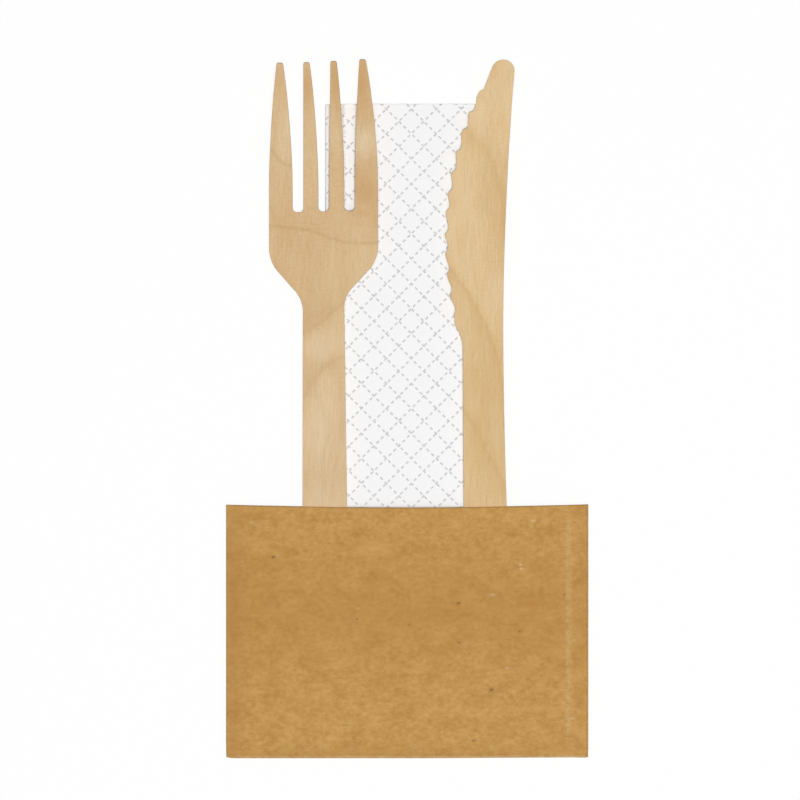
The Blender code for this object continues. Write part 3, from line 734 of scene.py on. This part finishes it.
def makeNapkinStack(looks, material):
    path = napkinPath(looks)
    bottom, top = napkinBox[0][1], napkinBox[1][1]
    upward = spread(bottom, mouthY, 6) + spread(mouthY, mouthY + looks["fall"], 6)[1:]
    upward += spread(upward[-1], top - looks["endRows"][0], 8)[1:] + [top - looks["endRows"][1]]
    half = looks["plyPitch"] / 2
    crown = [(top - half + half * math.sin(angle), math.cos(angle)) for angle in spread(0.0, math.pi, 6)]
    runs = [(y, 1.0) for y in upward] + crown + [(y, -1.0) for y in reversed(upward)]

    def place(column, row):
        (x, height), (leanX, leanZ), topLeaf = path[column]
        y, side = runs[row]
        if not topLeaf:   # the leaves below end unevenly
            y -= abs(looks["uneven"] * math.sin(column * 0.7)) * smooth(ramp(y, mouthY, top))
        return napkinPlace(x + leanX * half * side, y, height + leanZ * half * side, looks)

    topHeight = max(height for (x, height), lean, topLeaf in path)
    topColumns = [column for column, (point, lean, topLeaf) in enumerate(path) if topLeaf]
    leafXs = [path[column][0][0] for column in topColumns]

    def isTopPly(column, row):   # napkinFace takes its place there
        upper = path[column][1][1] > 0
        straight = row < len(upward) if upper else row >= len(upward) + len(crown) - 1
        return straight and column in topColumns and column + 1 in topColumns

    bm = gridSheet(len(path), len(runs), place, isTopPly)
    piece = finishPiece("foldedNapkin", bm, material, "napkin")
    addThickness(piece, looks["ply"])
    print("napkin stack made")
    return piece, min(leafXs), max(leafXs), topHeight + half


def latticeStops(looks, start, end):
    # where the dashes' sides and ends lie, along either slanting direction
    halfWidth, phase = looks["dashWidth"] / 2, looks["dashPhase"]
    stops = []
    for pitch, offsets in ((looks["lineSpacing"], (-halfWidth, halfWidth)),
                           (looks["dashPeriod"], (phase, phase + looks["dashLength"]))):
        for i in range(math.floor(start / pitch), math.ceil(end / pitch) + 1):
            stops += [i * pitch + offset for offset in offsets]
    kept = []
    for stop in sorted(stops):
        if not kept or stop - kept[-1] > looks["nearest"]:
            kept.append(stop)
    return kept


def isDash(along, across, looks):
    spacing = looks["lineSpacing"]
    onLine = abs((across + spacing / 2) % spacing - spacing / 2) < looks["dashWidth"] / 2
    return onLine and (along - looks["dashPhase"]) % looks["dashPeriod"] < looks["dashLength"]


def makeNapkinFace(looks, material, left, right, height):
    bottom, top = napkinBox[0][1], napkinBox[1][1] - looks["plyPitch"] / 2
    turn = Matrix.Translation((*looks["crossing"], 0)) @ Matrix.Rotation(math.radians(45), 4, "Z")
    ends = [turn.inverted() @ Vector((x, y, 0)) for x in (left, right) for y in (bottom, top)]
    alongStops, acrossStops = [
        latticeStops(looks, min(end[axis] for end in ends), max(end[axis] for end in ends))
        for axis in (0, 1)]
    bm = gridSheet(len(alongStops), len(acrossStops),
                   lambda column, row: Vector((alongStops[column], acrossStops[row], 0)))
    dashes = []
    for face in bm.faces:
        x, y, z = face.calc_center_median()
        if isDash(x, y, looks) or isDash(y, x, looks):
            dashes.append(face)
    bmesh.ops.inset_region(bm, faces=dashes, thickness=looks["dentRim"], use_even_offset=True)
    for face in dashes:
        for vert in face.verts:
            vert.co.z = -looks["dent"]
    bmesh.ops.transform(bm, matrix=turn, verts=bm.verts)
    for point, outward in (((left, 0, 0), (-1, 0, 0)), ((right, 0, 0), (1, 0, 0)),
                           ((0, bottom, 0), (0, -1, 0)), ((0, top, 0), (0, 1, 0))):
        bmesh.ops.bisect_plane(bm, geom=everything(bm), plane_co=point, plane_no=outward,
                               clear_outer=True, dist=1e-7)
    for vert in bm.verts:
        x, y, dent = vert.co
        vert.co = napkinPlace(x, y, height, looks) + Vector((0, 0, dent * napkinDrape(y, looks)[1]))
    piece = finishPiece("napkinFace", bm, material, "napkin")
    addThickness(piece, looks["ply"])
    print("napkin face made,", len(dashes), "dashes")
    return piece


# Pocket: one sheet of kraft, folded and glued into a flat tube, its bottom flap turned behind

pocketShape = {
    "paper": 0.20 * mm, "foldRadius": 0.35 * mm, "endRise": 5.0 * mm, "slack": 1.0 * mm,
    "mouthDip": 0.6 * mm, "mouthRises": (0.66 * mm, 0.74 * mm), "mouthCurve": 1.8,   # left and right
    "sideBulges": (0.06 * mm, 0.155 * mm), "foldBulges": (1.20, 0.78),               # left and right
    "sideFlap": 4.9 * mm, "sideFlapTrim": 3.9 * mm, "bottomFlap": 12.0 * mm, "flapTaper": 2.0 * mm,
    "settle": 1.5 * mm, "layerGap": 0.02, "flapUnder": 1.1, "sheetShare": 0.94,      # shares of the paper
    "ripple": 0.10 * mm, "frontRipple": 14 * mm, "frontShare": 0.8, "backRipple": 17 * mm,
    "calmBottom": 8 * mm, "calmSides": 4 * mm, "calmBack": 6 * mm,                   # ripples fade out there
    "frontSink": 0.02 * mm, "quietFrom": 30 * mm, "quietTo": 20 * mm,                # the back's flat middle
    "ridge": 0.07 * mm, "ridgeX": 37.98 * mm, "ridgeHalf": 0.25 * mm, "ridgeSlope": 1.0 * mm,
    "ridgeFrom": 5.6 * mm, "ridgeTo": 55.8 * mm, "ridgeEase": 0.6 * mm,              # above the bottom fold
    "bandX": -40.6 * mm, "bandHalf": 1.0 * mm, "bandShade": 0.04,
    "cornerRow": 0.06 * mm, "cornerFlat": 0.45 * mm, "cornerEase": 2.5 * mm,
    "nearFolds": (0.55 * mm, 1.1 * mm), "frontShort": 0.15 * mm, "flapShort": 0.5 * mm,
    "grid": 1.3 * mm, "foldSteps": 8, "lip": 0.35 * mm, "creaseAt": 0.75 * mm, "creaseWidth": 0.25 * mm,
    # painted shade at the bottom crease, along the mouth's lip and in the band
    "creaseShade": 0.14, "sideWearWidth": 0.40 * mm, "bottomWearAndHighlightWidth": 0.42 * mm,
    # paler bottom edge: wear and painted highlight, then more painted highlight to the right; paler ridge:
    # burnish and painted highlight
    "sideWear": 0.20, "bottomWearAndHighlight": (0.75, 0.40), "ridgeBurnishAndHighlight": 0.31, "lipShade": 0.22,
}


def ridgeShare(x, y, shape):
    # the glued flap's edge showing through the front panel
    start, end, ease = shape["ridgeFrom"], shape["ridgeTo"], shape["ridgeEase"]
    window = smooth(ramp(y, start - ease, start + ease)) * smooth(ramp(y, end + ease, end - ease))
    return window * smooth(ramp(abs(x - shape["ridgeX"]) - shape["ridgeHalf"], shape["ridgeSlope"], 0.0))


def firstRow(x, shape):
    # the bottom fold starts this far up; it narrows into the corners
    full = shape["foldRadius"] + shape["paper"] / 2
    eased = smooth(ramp(halfPocket - abs(x), shape["cornerFlat"], shape["cornerEase"]))
    return shape["cornerRow"] + (full - shape["cornerRow"]) * eased


def pocketLift(x, y, shape):
    # how far the panels stand apart: 0 at the folds, 1 over the handles
    left = (forkBox[0][0] + forkBox[1][0]) / 2 - forkShape["handleEnds"][0] - shape["slack"]
    right = knifeShape["axisX"] + knifeShape["handleRight"] + shape["slack"]
    across = springing(ramp(x, -halfPocket, left)) * springing(ramp(x, halfPocket, right))
    return across * springing(ramp(y, 0.0, shape["endRise"]))


def panelHeights(x, y, shape):
    # middle of the paper of the front panel, and of the lowest layer behind
    halfPaper = shape["paper"] / 2
    drop = (pocketTop / 2 - shape["foldRadius"] - halfPaper) * (1 - pocketLift(x, y, shape))
    return pocketTop - drop - halfPaper, drop + halfPaper


def mouthSag(x, shape):
    # the bulging panels draw the middle of the mouth down
    return shape["mouthDip"] - shape["mouthRises"][x > 0] * (abs(x) / halfPocket) ** shape["mouthCurve"]


def panelPoint(x, y, z, shape):
    return Vector((x, bottomY + y * (1 - mouthSag(x, shape) / (mouthY - bottomY)), z))


def isFlapped(x, y, shape):
    # 1 where the back panel lies over the bottom flap, easing off past the flap
    side = halfPocket - shape["flapTaper"]
    return (ramp(abs(x), side + shape["settle"], side)
            * smooth(ramp(y, shape["bottomFlap"] + shape["settle"], shape["bottomFlap"])))


def backPoint(x, y, shape):
    layer = shape["paper"] * (1 + shape["layerGap"]) * isFlapped(x, y, shape)
    wave = ripple(x, y, shape["backRipple"], 8.4) * shape["ripple"]
    wave *= ramp(abs(x), shape["quietTo"], shape["quietFrom"]) * ramp(y, 0.0, shape["calmBack"])
    return panelPoint(x, y, panelHeights(x, y, shape)[1] + layer + abs(wave), shape)


def frontPoint(x, y, shape):
    ridge = shape["ridge"] * ridgeShare(x, y, shape)
    wave = ripple(x, y, shape["frontRipple"], 1.7) * shape["ripple"] * shape["frontShare"]
    wave *= ramp(y, 0.0, shape["calmBottom"]) * ramp(halfPocket - abs(x), 0.0, shape["calmSides"])
    return panelPoint(x, y, panelHeights(x, y, shape)[0] + ridge + wave - shape["frontSink"], shape)


def flapPoint(x, y, shape):
    return panelPoint(x, y, panelHeights(x, y, shape)[0] - shape["paper"] * shape["flapUnder"], shape)


def makePocket(shape, material):
    half, height = halfPocket, mouthY - bottomY
    steps, endRise, bottomFlap = shape["foldSteps"], shape["endRise"], shape["bottomFlap"]
    foldReach = shape["foldRadius"] + shape["paper"] / 2
    flatEnd = half - foldReach
    count = round(2 * flatEnd / shape["grid"])
    frontXs = set(spread(-flatEnd, half - shape["frontShort"], count))
    frontXs.update(shape["ridgeX"] + k * shape["ridgeSlope"] / 4 for k in range(-6, 7))
    frontXs.update(shape["bandX"] + k * shape["bandHalf"] / 2 for k in range(-2, 3))
    frontXs.update(side * (half - inward) for side in (-1, 1) for inward in shape["nearFolds"])
    frontXs = sorted(frontXs)
    backXs = spread(flatEnd, -flatEnd, count)
    flapXs = spread(half - shape["sideFlap"], flatEnd, 6)
    rows = [foldReach, shape["creaseAt"]] + spread(shape["nearFolds"][1], endRise, 7)
    rows += spread(endRise, bottomFlap - 1 * mm, 5)[1:] + spread(bottomFlap, bottomFlap + shape["settle"], 5)
    rows += spread(rows[-1], height, round((height - rows[-1]) / shape["grid"]))[1:-1]
    rows += [height - shape["lip"], height]

    def foldPoint(upper, lower, share, side):
        middle = (upper + lower) / 2
        reach = (upper.z - lower.z) / 2
        outward = side * (reach + shape["sideBulges"][side > 0])
        angle = math.pi * share
        return Vector((middle.x + outward * math.sin(angle), middle.y, middle.z + reach * math.cos(angle)))

    def place(index, row):
        # from the glue flap's cut edge round the back to the front panel's cut edge
        corner = rows[row] if row else firstRow(flatEnd, shape)
        if index < len(flapXs):
            return flapPoint(flapXs[index], rows[row], shape)
        index -= len(flapXs)
        if index < steps - 1:
            upper, lower = [point(flatEnd, corner, shape) for point in (flapPoint, backPoint)]
            return foldPoint(upper, lower, (index + 1) / steps, 1)
        index -= steps - 1
        if index < len(backXs):
            y = corner if index in (0, len(backXs) - 1) else rows[row]
            return backPoint(backXs[index], y, shape)
        index -= len(backXs)
        if index < steps - 1:
            upper, lower = [point(-flatEnd, corner, shape) for point in (frontPoint, backPoint)]
            return foldPoint(upper, lower, 1 - (index + 1) / steps, -1)
        x = frontXs[index - steps + 1]
        return frontPoint(x, rows[row] if row else firstRow(x, shape), shape)

    def isTrimmed(index, row):   # the glue flap stops short of the mouth and the bottom
        y = (rows[row] + rows[row + 1]) / 2
        return index < len(flapXs) - 1 and not shape["sideFlapTrim"] < y < height - shape["sideFlapTrim"]

    total = len(flapXs) + 2 * (steps - 1) + len(backXs) + len(frontXs)
    bm = gridSheet(total, len(rows), place, isTrimmed)

    turns = spread(0.0, math.pi, steps)
    behindYs = spread(foldReach, bottomFlap, 10)[1:]
    flapColumns = [x for x in frontXs if abs(x) < half - shape["flapShort"]]

    def turned(index, row):
        # round the bottom fold, then up behind the back panel
        x = flapColumns[index]
        if row < len(turns):
            first = firstRow(x, shape)
            start = frontPoint(x, first, shape)
            behind = panelHeights(x, first, shape)[1]
            left, right = shape["foldBulges"]
            bulge = first * (right + (left - right) * smooth(ramp(x, half, 0.0)))
            z = (start.z + behind) / 2 + (start.z - behind) / 2 * math.cos(turns[row])
            return Vector((x, start.y - bulge * math.sin(turns[row]), z))
        y = behindYs[row - len(turns)]
        drawn = x * (1 - shape["flapTaper"] / half * (y / bottomFlap))
        return panelPoint(drawn, y, panelHeights(drawn, y, shape)[1], shape)

    flap = gridSheet(len(flapColumns), len(turns) + len(behindYs), turned)
    flapMesh = bpy.data.meshes.new("flapPart")
    flap.to_mesh(flapMesh)
    flap.free()
    bm.from_mesh(flapMesh)
    bpy.data.meshes.remove(flapMesh)
    bmesh.ops.remove_doubles(bm, verts=bm.verts, dist=1e-6)

    # pale marks: fold wear, with painted highlight on the bottom edge and the ridge
    wearAndHighlight = bm.verts.layers.float.new("wearAndHighlight")
    # painted shade: a band by the left fold, the bottom crease and the mouth's lip
    paintedShade = bm.verts.layers.float.new("paintedShade")
    for vert in bm.verts:
        x, y, z = vert.co
        atFront = z > pocketTop / 2
        fromBottom = y - bottomY
        fromMouth = height - mouthSag(x, shape) - fromBottom
        # the bottom edge is paled: wear and a painted highlight, with more painted highlight towards the
        # right
        evenWearAndHighlight, rightHighlight = shape["bottomWearAndHighlight"]
        atBottom = nearness(fromBottom, shape["bottomWearAndHighlightWidth"])
        vert[wearAndHighlight] = max(shape["sideWear"] * nearness(half - abs(x), shape["sideWearWidth"]),
                         (evenWearAndHighlight + rightHighlight * x / half) * atBottom,
                         # the ridge is paled: burnish and a painted highlight
                         shape["ridgeBurnishAndHighlight"] * ridgeShare(x, fromBottom, shape) * atFront)
        band = smooth(ramp(abs(x - shape["bandX"]), shape["bandHalf"], 0.0)) * atFront
        atCrease = nearness(fromBottom - shape["creaseAt"], shape["creaseWidth"])
        vert[paintedShade] = max(shape["bandShade"] * band, shape["creaseShade"] * atCrease,
                           shape["lipShade"] * ramp(fromMouth, shape["lip"], 0.0))
    piece = finishPiece("kraftPocket", bm, material, "paper_pocket")
    addThickness(piece, shape["paper"] * shape["sheetShare"])   # a hair apart where layers touch
    print("pocket made")


# Setting: pale floor, soft light, camera straight above as in the photograph

settingLooks = {
    "photoWidth": 187.86 * mm, "lookAt": (-1.70 * mm, 2.07 * mm, 3.5 * mm), "lens": 250.0, "sensor": 36.0,
    "worldStrength": 0.18, "floorColour": (0.97, 0.97, 0.97, 1), "floorSize": 3.0, "floorGlow": 0.88,
    "floorDrop": 0.02 * mm,
    "lamps": {"keyLight": (12.4, 0.30, (0.04, -0.06, 1.32)),    # power, size, place
              "fillLight": (2.4, 1.2, (0.25, -0.30, 1.30))},
}


def makeFloor(looks):
    material, tree, shader, coordinates = newMaterial("paleFloor")
    shader.inputs["Base Color"].default_value = looks["floorColour"]
    shader.inputs["Roughness"].default_value = 0.9
    glow = addNode(tree, "Emission", (("Color", (1, 1, 1, 1)),))[0]
    share = times(tree, seenDirectly(tree), looks["floorGlow"])
    mixed = addNode(tree, "MixShader", enumerate((share, shader.outputs[0], glow)))[0]
    feed(tree, tree.nodes["Material Output"].inputs["Surface"], mixed)
    bm = bmesh.new()
    bmesh.ops.create_grid(bm, x_segments=1, y_segments=1, size=looks["floorSize"] / 2)
    bmesh.ops.translate(bm, verts=bm.verts, vec=(0, 0, -looks["floorDrop"]))
    meshObject("floor", bm, material)


def makeSetting(looks):
    makeFloor(looks)
    world = bpy.data.worlds.new("softDay")
    bpy.context.scene.world = world
    world.use_nodes = True
    tree = world.node_tree
    background = tree.nodes["Background"]
    background.inputs["Color"].default_value = (1, 1, 1, 1)
    strength = spreadOut(tree, seenDirectly(tree), 0.0, 1.0, looks["worldStrength"], 1.0)
    feed(tree, background.inputs["Strength"], strength)
    for name, (power, size, place) in looks["lamps"].items():
        lamp = bpy.data.lights.new(name, "AREA")
        lamp.energy = power
        lamp.size = size
        holder = placeObject(name, lamp)
        holder.location = place
        holder.rotation_euler = (-Vector(place)).to_track_quat("-Z", "Y").to_euler()

    camera = bpy.data.cameras.new("camera")
    camera.lens = looks["lens"]
    camera.sensor_width = looks["sensor"]
    camera.clip_start = 0.01
    camera.clip_end = 20.0
    holder = placeObject("camera", camera)
    distance = looks["photoWidth"] * looks["lens"] / looks["sensor"]
    holder.location = Vector(looks["lookAt"]) + Vector((0, 0, distance))
    bpy.context.scene.camera = holder
    bpy.context.scene.view_settings.view_transform = "Standard"
    print("setting made")


makeSetting(settingLooks)
groups = {"grain": makeGrainGroup(), "growth": makeGrowthGroup(), "spot": makeSpotGroup(),
          "pulp": makePulpGroup(), "dashes": makeDashGroup(napkinLooks)}
print("shader groups made")

makeFork(forkShape, makeBirch("forkBirch", forkWood, groups))
makeKnife(knifeShape, makeBirch("knifeBirch", knifeWood, groups))
tissue = makeTissue(napkinLooks, groups)
napkin, leafLeft, leafRight, leafHeight = makeNapkinStack(napkinLooks, tissue)
napkinFace = makeNapkinFace(napkinLooks, tissue, leafLeft, leafRight, leafHeight)
makePocket(pocketShape, makeKraft(kraftLooks, groups))
